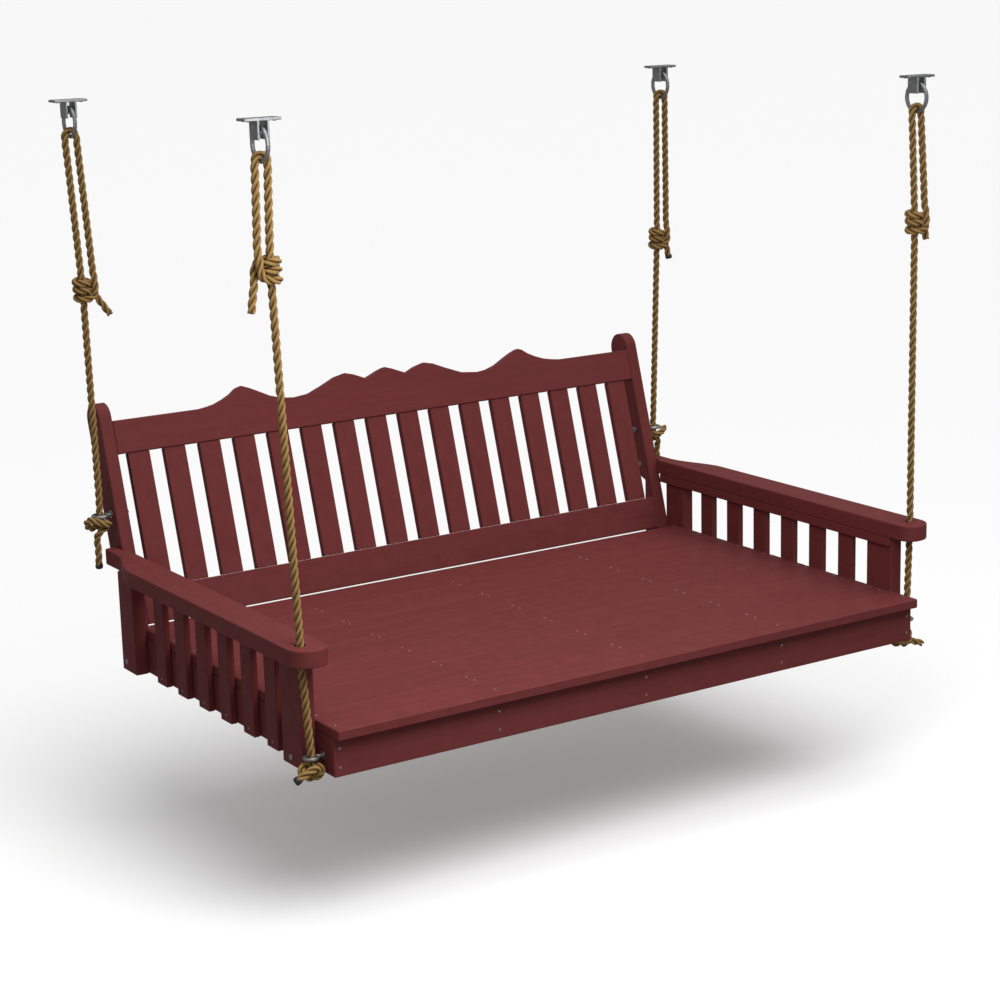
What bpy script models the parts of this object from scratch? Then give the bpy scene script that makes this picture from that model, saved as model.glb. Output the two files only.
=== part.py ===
"""Porch swing seat: slatted two-arm bench hung on four ropes from four ceiling hangers.

Units are metres, +Z is up and the bench faces -Y.  The origin lies in the ceiling plane,
at the centre of the four hangers, so everything hangs below it.
"""
import math

import bmesh
import bpy
from mathutils import Vector

# ---- where the bench hangs --------------------------------------------------------------
DECK_TOP_Z = -1.280          # top of the seat deck below the ceiling
DECK_FRONT_Y = -0.6203       # front edge of the deck ahead of the origin
GAP = 0.0003                 # clearance between neighbouring pieces
TIMBER_EDGE = 0.002          # widths of the eased edges
SLAT_EDGE = 0.0015
ARM_EDGE = 0.003
STEEL_EDGE = 0.001
MERGE_DISTANCE = 0.00001

# ---- seat frame and deck ----------------------------------------------------------------
HALF_WIDTH = 0.8265          # outer face of a side rail from the middle
BOARD_COUNT = 7
BOARD_WIDTH = 0.1397
BOARD_PITCH = 0.1413
BOARD_THICK = 0.0224
RAIL_HEIGHT = 0.0883
RAIL_TOP_Z = -BOARD_THICK - GAP
RAIL_BOTTOM_Z = RAIL_TOP_Z - RAIL_HEIGHT
APRON_FRONT_Y = 0.023
APRON_THICK = 0.038
SIDE_RAIL_THICK = 0.024
REAR_APRON_BACK_Y = 0.9885
JOIST_SPACING = 0.4064
JOIST_THICK = 0.038

# ---- arms -------------------------------------------------------------------------------
ARM_BOTTOM_Z = 0.1393
ARM_TOP_Z = 0.179
ARM_OUTER = 0.076            # outer edge of the armrest beyond the side rail's face
ARM_INNER = -0.0104
ARM_FRONT_Y = 0.024
ARM_REAR_Y = 1.112
ARM_TAIL_WIDTH = 0.031
ARM_SWEEP_START_Y = 0.872
ARM_SWEEP_END_Y = 1.045
ARM_NOTCH_Y = 1.0612
ARM_OUTER_CORNER = 0.048
ARM_INNER_CORNER = 0.034
ARM_TAIL_CORNER = 0.008
ROPE_HOLE_OUT = 0.041
ROPE_HOLE_Y = 0.0765
ROPE_HOLE_RADIUS = 0.0125
ROPE_DRILL_DEPTH = 0.080
DRILL_START = 0.020          # how far outside the timber a drill starts
FRONT_POST_Y = (0.099, 0.190)
REAR_LEG_Y = (0.953, 1.0315)
LEG_THICK = 0.035
ARM_SLAT_COUNT = 6
ARM_SLAT_WIDTH = 0.0522
ARM_SLAT_PITCH = 0.1143
ARM_SLAT_REAR_Y = 0.8715
ARM_SLAT_THICK = 0.0166
ARM_RAIL_HEIGHT = 0.0226
ARM_RAIL_REAR_Y = 1.0475
ARM_SCREW_RADIUS = 0.0035
ARM_SCREW_DEPTH = 0.012
ARM_SCREW_PROUD = 0.0012

# ---- back -------------------------------------------------------------------------------
BACK_LEAN = math.radians(16.18)
BACK_FOOT_Y = 1.0216         # front plane of the back at deck level
POST_THICK = 0.034
POST_DEPTH = 0.078
POST_TOP = 0.557             # along the slope
POST_HEEL_Y = 1.085          # rear face of the post where it stands behind the leg
POST_HEEL_Z = 0.118          # where that face ends
POST_HEEL_RISE = 0.170       # where the sloping rear face begins, along the slope
BACK_RAIL_THICK = 0.022
LOWER_RAIL = (-0.0078, 0.0805)
CREST_BOTTOM = 0.4214
CREST_PROFILE = (            # height along the slope against distance from the middle
    (0.000, 0.549), (0.020, 0.543), (0.062, 0.526), (0.095, 0.540), (0.122, 0.547),
    (0.150, 0.541), (0.190, 0.524), (0.235, 0.507), (0.283, 0.502), (0.320, 0.506),
    (0.350, 0.515), (0.380, 0.530), (0.405, 0.542), (0.427, 0.550), (0.440, 0.546),
    (0.457, 0.534), (0.480, 0.523), (0.505, 0.514), (0.530, 0.509), (0.557, 0.5055))
BACK_SLAT_COUNT = 16
BACK_SLAT_WIDTH = 0.0584
BACK_SLAT_PITCH = 0.0981
BACK_SLAT_THICK = 0.019

# ---- hardware ---------------------------------------------------------------------------
EYE_WIRE = 0.004             # radius of the bent eye rod
FRONT_EYE_RADIUS = 0.0145
REAR_EYE_RADIUS = 0.0185
EYE_FILLET = 0.006
EYE_HOLE = 0.0043
EYE_DRILL_DEPTH = 0.090
EYE_END = 0.012              # rod showing past the inner face of the timber
FRONT_EYE = (0.029, 0.0712, -0.072)      # outboard distance, y, z
REAR_EYE = (0.029, 1.128, 0.259)
NUT_RADIUS = 0.0085
NUT_HEIGHT = 0.006
WASHER_RADIUS = 0.010
WASHER_HEIGHT = 0.0015

# ---- hangers ----------------------------------------------------------------------------
PIN_DROP = 0.030             # hanger pin below the ceiling
PIN_RADIUS = 0.005
RING_WIRE = 0.005
RING_RADIUS = 0.034
PLATE_LENGTH = 0.084
PLATE_THICK = 0.006
HANGER_DEPTH = 0.036
LUG_INSIDE = 0.009           # from the middle of the hanger to a lug's inner face
LUG_THICK = 0.005
LUG_BOTTOM = -0.044

# ---- ropes ------------------------------------------------------------------------------
ROPE_RADIUS = 0.009
FRONT_PIVOT_LIFT = 0.012     # joint of the front rope above the armrest
FRONT_LEAN = (0.0219, 0.0238)            # outward and rearward metres per metre of rise
REAR_LEAN = (0.0207, -0.0214)
LOOP_RADIUS = RING_WIRE + ROPE_RADIUS + GAP
STRAND_GAP = 2 * LOOP_RADIUS # between the standing and the returning strand
# Each hitch: height above the deck, which way its returning strand lies, and how far its
# free end reaches beyond and below the middle of the hitch.
HITCHES = {
    "front_left": (0.975, -1, 0.052, 0.086),
    "front_right": (0.927, 1, 0.038, 0.046),
    "rear_left": (0.826, 1, 0.066, 0.068),
    "rear_right": (0.802, 1, 0.042, 0.060)}
HITCH_SIZE = (0.031, 0.024, 0.029)       # half width, half depth, half height
HITCH_SHIFT = 0.005          # middle of the hitch beyond the standing strand
FRONT_KNOT_DROP = 0.030      # stopper knot below its eye
FRONT_KNOT_SIZE = (0.029, 0.022, 0.0225)
REAR_KNOT_DROP = 0.0315
REAR_KNOT_SIZE = (0.028, 0.024, 0.021)
REAR_TAIL = 0.102
REAR_TAIL_SHIFT = 0.0118     # how far outboard of its eye a rear tail hangs
FRONT_TAIL = 0.040
TAIL_BEND = 0.022
TAIL_TURN = math.radians(62)


def clear_scene():
    for item in list(bpy.data.objects):
        bpy.data.objects.remove(item, do_unlink=True)


def paint(name, colour, roughness, metallic):
    mat = bpy.data.materials.new(name)
    mat.use_nodes = True
    shader = mat.node_tree.nodes["Principled BSDF"]
    shader.inputs["Base Color"].default_value = (*colour, 1.0)
    shader.inputs["Roughness"].default_value = roughness
    shader.inputs["Metallic"].default_value = metallic
    return mat


def seat_point(x, y, z):
    """World place of a point given from the middle of the deck's front top edge."""
    return Vector((x, y + DECK_FRONT_Y, z + DECK_TOP_Z))


def anchor(name, place, parent=None):
    empty = bpy.data.objects.new(name, None)
    bpy.context.collection.objects.link(empty)
    empty["world"] = tuple(place)
    if parent is None:
        empty.location = place
        return empty
    empty.parent = parent
    empty.location = Vector(place) - Vector(parent["world"])
    return empty


def put(data, name, place, body, material, rotation=(0.0, 0.0, 0.0)):
    item = bpy.data.objects.new(name, data)
    bpy.context.collection.objects.link(item)
    item.location = place
    if body is not None:
        item.parent = body
        item.location = Vector(place) - Vector(body["world"])
    item.rotation_euler = rotation
    if not data.materials:
        data.materials.append(material)
    return item


def ease_edges(item, width, segments=1):
    mod = item.modifiers.new("eased edges", "BEVEL")
    mod.width = width
    mod.segments = segments
    mod.limit_method = "ANGLE"
    mod.angle_limit = math.radians(40)


def box_mesh(name, size):
    mesh = bpy.data.meshes.new(name)
    bm = bmesh.new()
    bmesh.ops.create_cube(bm, size=1.0)
    bmesh.ops.scale(bm, vec=size, verts=bm.verts)
    bm.to_mesh(mesh)
    bm.free()
    return mesh


def board(name, low, high, body, material, edge=TIMBER_EDGE):
    """Straight piece of timber between two corners given from the deck's front edge."""
    size = [b - a for a, b in zip(low, high)]
    middle = [(a + b) / 2 for a, b in zip(low, high)]
    item = put(box_mesh(name, size), name, seat_point(*middle), body, material)
    ease_edges(item, edge)
    return item


def prism_mesh(name, outline, axis, low, high):
    """Solid with a flat outline, pushed from low to high along one axis (0 x, 1 y, 2 z)."""
    bm = bmesh.new()
    rings = []
    for level in (low, high):
        ring = []
        for a, b in outline:
            point = [a, b]
            point.insert(axis, level)
            ring.append(bm.verts.new(point))
        rings.append(ring)
    bm.faces.new(rings[0])
    bm.faces.new(rings[1])
    count = len(outline)
    for i in range(count):
        j = (i + 1) % count
        bm.faces.new((rings[0][i], rings[0][j], rings[1][j], rings[1][i]))
    bmesh.ops.recalc_face_normals(bm, faces=bm.faces)
    mesh = bpy.data.meshes.new(name)
    bm.to_mesh(mesh)
    bm.free()
    return mesh


def add_disc(bm, centre, direction, radius, height, sides=12):
    """Short closed cylinder standing on centre and rising along direction."""
    turn = Vector((0, 0, 1)).rotation_difference(Vector(direction)).to_matrix().to_4x4()
    made = bmesh.ops.create_cone(bm, cap_ends=True, segments=sides, radius1=radius,
                                 radius2=radius, depth=height)
    middle = Vector(centre) + Vector(direction) * (height / 2)
    bmesh.ops.transform(bm, matrix=turn, verts=made["verts"])
    bmesh.ops.translate(bm, vec=middle, verts=made["verts"])


def add_box(bm, centre, size):
    made = bmesh.ops.create_cube(bm, size=1.0)
    bmesh.ops.scale(bm, vec=size, verts=made["verts"])
    bmesh.ops.translate(bm, vec=centre, verts=made["verts"])


def combine(item, bm, name, operation):
    """Boolean between a piece and shapes given in world places."""
    tool = bpy.data.objects.new(name, bpy.data.meshes.new(name))
    bm.to_mesh(tool.data)
    bm.free()
    bpy.context.collection.objects.link(tool)
    tool.hide_render = True
    tool.display_type = "WIRE"
    mod = item.modifiers.new(name, "BOOLEAN")
    mod.operation = operation
    mod.solver = "EXACT"
    mod.object = tool


def tube_mesh(name, route, radius, resolution=3, closed=False):
    """Round bar along a route of points with their swelling, made by a bevelled curve."""
    data = bpy.data.curves.new(name, "CURVE")
    data.dimensions = "3D"
    data.bevel_depth = radius
    data.bevel_resolution = resolution
    data.use_fill_caps = True
    spline = data.splines.new("POLY")
    spline.points.add(len(route) - 1)
    for target, (point, swell) in zip(spline.points, route):
        target.co = (*point, 1.0)
        target.radius = swell
    spline.use_cyclic_u = closed
    guide = bpy.data.objects.new(name, data)
    bpy.context.collection.objects.link(guide)
    depsgraph = bpy.context.evaluated_depsgraph_get()
    mesh = bpy.data.meshes.new_from_object(guide.evaluated_get(depsgraph))
    bpy.data.objects.remove(guide, do_unlink=True)
    mesh.materials.clear()
    bm = bmesh.new()
    bm.from_mesh(mesh)
    bmesh.ops.remove_doubles(bm, verts=bm.verts, dist=MERGE_DISTANCE)
    bmesh.ops.recalc_face_normals(bm, faces=bm.faces)
    bm.to_mesh(mesh)
    bm.free()
    mesh.shade_smooth()
    return mesh


def slope_point(depth, rise):
    """Seat y and z of a point behind the back's front plane and up its slope."""
    y = BACK_FOOT_Y + rise * math.sin(BACK_LEAN) + depth * math.cos(BACK_LEAN)
    z = rise * math.cos(BACK_LEAN) - depth * math.sin(BACK_LEAN)
    return y, z


# ---- timber -----------------------------------------------------------------------------
def build_deck(body, mats):
    size = (2 * HALF_WIDTH, BOARD_WIDTH, BOARD_THICK)
    mesh = box_mesh("deck_board", size)
    for i in range(BOARD_COUNT):
        y = i * BOARD_PITCH + BOARD_WIDTH / 2
        place = seat_point(0.0, y, -BOARD_THICK / 2)
        item = put(mesh, "deck_board_%d" % (i + 1), place, body, mats["deck"])
        ease_edges(item, TIMBER_EDGE)


def build_seat_frame(body, mats):
    inner = HALF_WIDTH - SIDE_RAIL_THICK
    back = REAR_APRON_BACK_Y
    front = APRON_FRONT_Y
    low, top = RAIL_BOTTOM_Z, RAIL_TOP_Z
    board("front_apron", (-HALF_WIDTH, front, low), (HALF_WIDTH, front + APRON_THICK, top),
          body, mats["frame"])
    board("rear_apron", (-HALF_WIDTH, back - APRON_THICK, low), (HALF_WIDTH, back, top),
          body, mats["frame"])
    y0 = front + APRON_THICK + GAP
    y1 = back - APRON_THICK - GAP
    for side, word in ((-1, "left"), (1, "right")):
        x0, x1 = sorted((side * inner, side * HALF_WIDTH))
        rail = board("side_rail_" + word, (x0, y0, low), (x1, y1, top), body, mats["frame"])
        drill(rail, side, FRONT_EYE, "front_eye_drill_" + word)
    for i, name in enumerate(("joist_left", "joist_middle", "joist_right")):
        x = (i - 1) * JOIST_SPACING
        board(name, (x - JOIST_THICK / 2, y0, low), (x + JOIST_THICK / 2, y1, top),
              body, mats["frame"])


def drill(item, side, eye, name):
    """Cross hole for an eye bolt through a piece at the side of the seat."""
    bm = bmesh.new()
    start = seat_point(side * (HALF_WIDTH + DRILL_START), eye[1], eye[2])
    add_disc(bm, start, (-side, 0, 0), EYE_HOLE, EYE_DRILL_DEPTH)
    combine(item, bm, name, "DIFFERENCE")


def side_span(side, near, far):
    """Sorted x range between two distances beyond a side rail's outer face."""
    return sorted((side * (HALF_WIDTH + near), side * (HALF_WIDTH + far)))


def build_arm_uprights(side, word, body, mats):
    low, top = RAIL_BOTTOM_Z, ARM_BOTTOM_Z - GAP
    x0, x1 = side_span(side, GAP, GAP + LEG_THICK)
    for name, span in (("front_post_", FRONT_POST_Y), ("rear_leg_", REAR_LEG_Y)):
        board(name + word, (x0, span[0], low), (x1, span[1], top), body, mats["frame"])
    build_arm_panel(side, word, body, mats)


def build_arm_panel(side, word, body, mats):
    """Six slats screwed to the rail under the armrest's inner edge."""
    low, top = RAIL_BOTTOM_Z, ARM_BOTTOM_Z - GAP
    x0, x1 = side_span(side, ARM_INNER, -GAP)
    panel = board("arm_panel_" + word, (x0, FRONT_POST_Y[0], top - ARM_RAIL_HEIGHT),
                  (x1, ARM_RAIL_REAR_Y, top), body, mats["slats"], SLAT_EDGE)
    slats = bmesh.new()
    screws = bmesh.new()
    x = side * (HALF_WIDTH + GAP + ARM_SLAT_THICK / 2)
    head = side * (HALF_WIDTH + ARM_INNER - ARM_SCREW_PROUD)
    reach = abs(ARM_INNER) + ARM_SCREW_PROUD + ARM_SCREW_DEPTH
    for i in range(ARM_SLAT_COUNT):
        y = ARM_SLAT_REAR_Y - ARM_SLAT_WIDTH / 2 - i * ARM_SLAT_PITCH
        centre = seat_point(x, y, (low + top) / 2)
        add_box(slats, centre, (ARM_SLAT_THICK, ARM_SLAT_WIDTH, top - low))
        start = seat_point(head, y, top - ARM_RAIL_HEIGHT / 2)
        add_disc(screws, start, (side, 0, 0), ARM_SCREW_RADIUS, reach, 8)
    bmesh.ops.bevel(slats, geom=slats.edges[:], offset=SLAT_EDGE, segments=1, affect="EDGES")
    combine(panel, slats, "arm_slat_shapes_" + word, "UNION")
    combine(panel, screws, "arm_screw_shapes_" + word, "UNION")


def arc(cx, cy, radius, start, stop, steps):
    points = []
    for i in range(steps + 1):
        angle = math.radians(start + (stop - start) * i / steps)
        points.append((cx + radius * math.cos(angle), cy + radius * math.sin(angle)))
    return points


def armrest_outline():
    """Plan of an armrest: distance beyond the side rail's face, then y."""
    r0, r1 = ARM_INNER_CORNER, ARM_OUTER_CORNER
    points = arc(ARM_INNER + r0, ARM_FRONT_Y + r0, r0, 180, 270, 5)
    points += arc(ARM_OUTER - r1, ARM_FRONT_Y + r1, r1, 270, 360, 8)
    steps = 9
    for i in range(steps + 1):
        t = i / steps
        blend = t * t * (3 - 2 * t)
        y = ARM_SWEEP_START_Y + (ARM_SWEEP_END_Y - ARM_SWEEP_START_Y) * t
        points.append((ARM_OUTER + (ARM_TAIL_WIDTH - ARM_OUTER) * blend, y))
    r2 = ARM_TAIL_CORNER
    points += arc(ARM_TAIL_WIDTH - r2, ARM_REAR_Y - r2, r2, 0, 90, 3)
    points += [(0.0, ARM_REAR_Y), (0.0, ARM_NOTCH_Y), (ARM_INNER, ARM_NOTCH_Y)]
    return points


def build_armrest(side, word, body, mats):
    outline = [(side * d, y) for d, y in armrest_outline()]
    mesh = prism_mesh("armrest_" + word, outline, 2, 0.0, ARM_TOP_Z - ARM_BOTTOM_Z)
    place = seat_point(side * HALF_WIDTH, 0.0, ARM_BOTTOM_Z)
    item = put(mesh, "armrest_" + word, place, body, mats["arms"])
    ease_edges(item, ARM_EDGE, 2)
    bm = bmesh.new()
    start = seat_point(side * (HALF_WIDTH + ROPE_HOLE_OUT), ROPE_HOLE_Y,
                       ARM_BOTTOM_Z - DRILL_START)
    add_disc(bm, start, (0, 0, 1), ROPE_HOLE_RADIUS, ROPE_DRILL_DEPTH, 24)
    combine(item, bm, "rope_drill_" + word, "DIFFERENCE")


def post_outline():
    """Side view of a back post: y and z from the deck's front top edge."""
    radius = POST_DEPTH / 2
    foot_rise = RAIL_BOTTOM_Z / math.cos(BACK_LEAN)
    points = [slope_point(0.0, foot_rise)]
    crown = arc(radius, POST_TOP - radius, radius, 180, 0, 12)
    points += [slope_point(depth, rise) for depth, rise in crown]
    points.append(slope_point(POST_DEPTH, POST_HEEL_RISE))
    points += [(POST_HEEL_Y, POST_HEEL_Z), (POST_HEEL_Y, RAIL_BOTTOM_Z)]
    return points


def build_back_post(side, word, body, mats):
    outline = post_outline()
    low, high = sorted((-side * GAP, -side * (GAP + POST_THICK)))
    mesh = prism_mesh("back_post_" + word, outline, 0, low, high)
    place = seat_point(side * HALF_WIDTH, 0.0, 0.0)
    item = put(mesh, "back_post_" + word, place, body, mats["frame"])
    ease_edges(item, TIMBER_EDGE)
    drill(item, side, REAR_EYE, "rear_eye_drill_" + word)


def crest_outline():
    half = HALF_WIDTH - POST_THICK - 2 * GAP
    right = [(half, CREST_PROFILE[-1][1])]
    right += [(u, s) for u, s in reversed(CREST_PROFILE)]
    left = [(-u, s) for u, s in right[::-1] if u > 0.0]
    return right + left + [(-half, CREST_BOTTOM), (half, CREST_BOTTOM)]


def build_back_rails(body, mats):
    tilt = (-BACK_LEAN, 0.0, 0.0)
    foot = seat_point(0.0, BACK_FOOT_Y, 0.0)
    mesh = prism_mesh("crest_rail", crest_outline(), 1, 0.0, BACK_RAIL_THICK)
    item = put(mesh, "crest_rail", foot, body, mats["frame"], tilt)
    ease_edges(item, TIMBER_EDGE)
    half = HALF_WIDTH - POST_THICK - 2 * GAP
    low, high = LOWER_RAIL
    plan = [(-half, low), (half, low), (half, high), (-half, high)]
    mesh = prism_mesh("lower_back_rail", plan, 1, 0.0, BACK_RAIL_THICK)
    item = put(mesh, "lower_back_rail", foot, body, mats["frame"], tilt)
    ease_edges(item, TIMBER_EDGE)


def build_back_slats(body, mats):
    """Upright slats let in between the two back rails, flush with their rear faces."""
    low, high = LOWER_RAIL[1] + GAP, CREST_BOTTOM - GAP
    mesh = box_mesh("back_slat", (BACK_SLAT_WIDTH, BACK_SLAT_THICK, high - low))
    depth = BACK_RAIL_THICK - BACK_SLAT_THICK / 2
    y, z = slope_point(depth, (low + high) / 2)
    for i in range(BACK_SLAT_COUNT):
        x = (i - (BACK_SLAT_COUNT - 1) / 2) * BACK_SLAT_PITCH
        item = put(mesh, "back_slat_%02d" % (i + 1), seat_point(x, y, z), body,
                   mats["slats"], (-BACK_LEAN, 0.0, 0.0))
        ease_edges(item, SLAT_EDGE)


# ---- eye bolts --------------------------------------------------------------------------
def eye_route(radius, start):
    """Bent rod seen from above: shank along x from its inner end, then round the ring."""
    meet = math.sqrt((radius + EYE_FILLET) ** 2 - EYE_FILLET ** 2)
    angle = math.degrees(math.atan2(EYE_FILLET, meet))
    points = [(start, 0.0)]
    points += arc(meet, EYE_FILLET, EYE_FILLET, 270, 180 + angle + 15, 4)
    points += arc(0.0, 0.0, radius, angle + 6, 332, 24)
    return points


def build_eye_bolts(word, eye, radius, wall, body, mats):
    """Eye rods through the timber, each with an outer washer and an inner nut."""
    out, y, z = eye
    for side, hand in ((-1, "left"), (1, "right")):
        name = "%s_eye_bolt_%s" % (word, hand)
        flat = eye_route(radius, out + wall + EYE_END)
        route = [(Vector((-side * a, b, 0.0)), 1.0) for a, b in flat]
        place = seat_point(side * (HALF_WIDTH + out), y, z)
        item = put(tube_mesh(name, route, EYE_WIRE), name, place, body, mats["steel"])
        bm = bmesh.new()
        inward = (-side, 0, 0)
        face = seat_point(side * (HALF_WIDTH + WASHER_HEIGHT + GAP), y, z)
        add_disc(bm, face, inward, WASHER_RADIUS, WASHER_HEIGHT, 16)
        face = seat_point(side * (HALF_WIDTH - wall - GAP), y, z)
        add_disc(bm, face, inward, NUT_RADIUS, NUT_HEIGHT, 6)
        combine(item, bm, name + "_nut_shapes", "UNION")


# ---- ropes ------------------------------------------------------------------------------
def rope_end(tip, inward, leaving):
    """Rounded end of one rope radius, listed from the tip inwards, or towards the tip."""
    points = []
    for share in (0.02, 0.12, 0.35, 0.65, 1.0):
        depth = share * ROPE_RADIUS
        radius = math.sqrt(ROPE_RADIUS ** 2 - (ROPE_RADIUS - depth) ** 2)
        points.append((Vector(tip) + Vector(inward) * depth, radius / ROPE_RADIUS))
    return points[::-1] if leaving else points


def between(start, end, count):
    """Points strictly between two ends, evenly spread."""
    a, b = Vector(start), Vector(end)
    return [(a.lerp(b, (i + 1) / (count + 1)), 1.0) for i in range(count)]


def hang_line(side, word):
    """Lower joint, direction going up and pin of one hanging rope, in world places."""
    if word == "front":
        out, y, z = ROPE_HOLE_OUT, ROPE_HOLE_Y, ARM_TOP_Z + FRONT_PIVOT_LIFT
        lean = FRONT_LEAN
    else:
        out, y, z = REAR_EYE
        lean = REAR_LEAN
    low = seat_point(side * (HALF_WIDTH + out), y, z)
    slope = Vector((side * lean[0], lean[1], 1.0))
    pin = low + slope * (-PIN_DROP - low.z)
    return low, slope.normalized(), pin


def ring_centre(pin):
    return pin - Vector((0, 0, RING_RADIUS - RING_WIRE - PIN_RADIUS - GAP))


def hitch_place(side, word, hand):
    """Where a standing rope passes its hitch, and the way its returning strand lies."""
    low, up, pin = hang_line(side, word)
    height, way = HITCHES[word + "_" + hand][:2]
    rise = height + DECK_TOP_Z - low.z
    return low + up * (rise / up.z), Vector((way, 0, 0))


def loop_route(side, word, hand, start):
    """Rope from start up to its ring, over it and down again past the hitch."""
    low, up, pin = hang_line(side, word)
    bend = ring_centre(pin) - Vector((0, 0, RING_RADIUS))
    hitch, out = hitch_place(side, word, hand)
    reach, drop = HITCHES[word + "_" + hand][2:]
    route = between(start, hitch, 16)
    route.append((hitch, 1.0))
    route += between(hitch, bend - out * LOOP_RADIUS, 4)
    for step in range(9, -1, -1):
        turn = math.pi * step / 9
        swing = out * math.cos(turn) + Vector((0, 0, math.sin(turn)))
        route.append((bend + swing * LOOP_RADIUS, 1.0))
    beside = hitch + out * STRAND_GAP
    route += between(bend + out * LOOP_RADIUS, beside, 4)
    route.append((beside, 1.0))
    elbow = beside - up * (HITCH_SIZE[2] / 2)
    tip = hitch + out * reach - up * drop
    ending = rope_end(tip, (elbow - tip).normalized(), True)
    route.append((elbow, 1.0))
    return route + between(elbow, ending[0][0], 1) + ending


def front_upper_route(side, hand):
    low, up, pin = hang_line(side, "front")
    route = rope_end(low + up * (GAP / 2), up, False)
    return route + loop_route(side, "front", hand, route[-1][0])


def front_lower_route(side):
    """From the joint over the armrest down its hole, through the eye and out of the knot."""
    low = hang_line(side, "front")[0]
    eye = seat_point(side * (HALF_WIDTH + FRONT_EYE[0]), FRONT_EYE[1], FRONT_EYE[2])
    down = (eye - low).normalized()
    route = rope_end(low + down * (GAP / 2), down, False)
    route += between(route[-1][0], eye, 6)
    knot = eye + Vector((0, 0, -FRONT_KNOT_DROP))
    route += [(eye, 1.0), (knot, 1.0)]
    for step in range(1, 4):
        turn = TAIL_TURN * step / 3
        swing = Vector((side * (1 - math.cos(turn)), 0, -math.sin(turn)))
        route.append((knot + swing * TAIL_BEND, 1.0))
    last = route[-1][0]
    way = Vector((side * math.sin(TAIL_TURN), 0, -math.cos(TAIL_TURN)))
    return route + rope_end(last + way * FRONT_TAIL, -way, True)


def rear_route(side, hand):
    """From the free end up through the stopper knot and the eye, then on to the ring."""
    low, up, pin = hang_line(side, "rear")
    elbow = low + Vector((side * REAR_TAIL_SHIFT, 0, -REAR_KNOT_DROP))
    tip = elbow - Vector((0, 0, REAR_TAIL))
    route = rope_end(tip, (0, 0, 1), False)
    route += between(route[-1][0], elbow, 3)
    route += [(elbow, 1.0), (low, 1.0)]
    return route + loop_route(side, "rear", hand, low)


def tie_knot(item, centre, size, name):
    """Swelling that a knot makes, joined to its rope."""
    bm = bmesh.new()
    bmesh.ops.create_uvsphere(bm, u_segments=14, v_segments=8, radius=1.0)
    bmesh.ops.scale(bm, vec=size, verts=bm.verts)
    bmesh.ops.translate(bm, vec=centre, verts=bm.verts)
    combine(item, bm, name, "UNION")


def rope_piece(name, route, place, body, mats):
    local = [(point - place, swell) for point, swell in route]
    return put(tube_mesh(name, local, ROPE_RADIUS), name, place, body, mats["rope"])


def tie_hitch(item, side, word, hand):
    hitch, out = hitch_place(side, word, hand)
    tie_knot(item, hitch + out * HITCH_SHIFT, HITCH_SIZE, item.name + "_hitch_shape")


def build_ropes(anchors, mats):
    for side, hand in ((-1, "left"), (1, "right")):
        low = hang_line(side, "front")[0]
        name = "front_rope_upper_" + hand
        item = rope_piece(name, front_upper_route(side, hand), low, anchors["front"], mats)
        tie_hitch(item, side, "front", hand)
        name = "front_rope_lower_" + hand
        item = rope_piece(name, front_lower_route(side), low, anchors["seat"], mats)
        knot = seat_point(side * (HALF_WIDTH + FRONT_EYE[0]), FRONT_EYE[1],
                          FRONT_EYE[2] - FRONT_KNOT_DROP)
        tie_knot(item, knot, FRONT_KNOT_SIZE, name + "_knot_shape")
        low = hang_line(side, "rear")[0]
        name = "rear_rope_" + hand
        item = rope_piece(name, rear_route(side, hand), low, anchors["rear"], mats)
        tie_hitch(item, side, "rear", hand)
        knot = low - Vector((0, 0, REAR_KNOT_DROP))
        tie_knot(item, knot, REAR_KNOT_SIZE, name + "_knot_shape")


# ---- hangers ----------------------------------------------------------------------------
def hanger_outline():
    """Front view of a ceiling bracket: a plate with two lugs hanging from it."""
    half = PLATE_LENGTH / 2
    inside, outside = LUG_INSIDE, LUG_INSIDE + LUG_THICK
    under = -PLATE_THICK
    right = [(half, 0.0), (half, under), (outside, under), (outside, LUG_BOTTOM),
             (inside, LUG_BOTTOM), (inside, under)]
    left = [(-x, z) for x, z in right[::-1]]
    return right + left


def build_hanger(name, pin, mats):
    half = HANGER_DEPTH / 2
    mesh = prism_mesh(name, hanger_outline(), 1, -half, half)
    item = put(mesh, name, (pin.x, pin.y, 0.0), None, mats["steel"])
    ease_edges(item, STEEL_EDGE)
    bm = bmesh.new()
    reach = LUG_INSIDE + LUG_THICK / 2
    add_disc(bm, pin - Vector((reach, 0, 0)), (1, 0, 0), PIN_RADIUS, 2 * reach, 12)
    combine(item, bm, name + "_pin_shape", "UNION")


def build_ring(name, pin, body, mats):
    route = []
    for x, z in arc(0.0, 0.0, RING_RADIUS, 0, 360, 28)[:-1]:
        route.append((Vector((0.0, x, z)), 1.0))
    mesh = tube_mesh(name, route, RING_WIRE, 2, True)
    put(mesh, name, ring_centre(pin), body, mats["steel"])


def make_materials():
    return {
        "deck": paint("deck paint", (0.150, 0.028, 0.025), 0.42, 0.0),
        "frame": paint("frame paint", (0.120, 0.023, 0.021), 0.45, 0.0),
        "slats": paint("slat paint", (0.128, 0.025, 0.022), 0.45, 0.0),
        "arms": paint("arm paint", (0.140, 0.027, 0.024), 0.42, 0.0),
        "steel": paint("zinc steel", (0.52, 0.52, 0.51), 0.32, 1.0),
        "rope": paint("manila rope", (0.50, 0.31, 0.13), 0.85, 0.0),
    }


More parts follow.
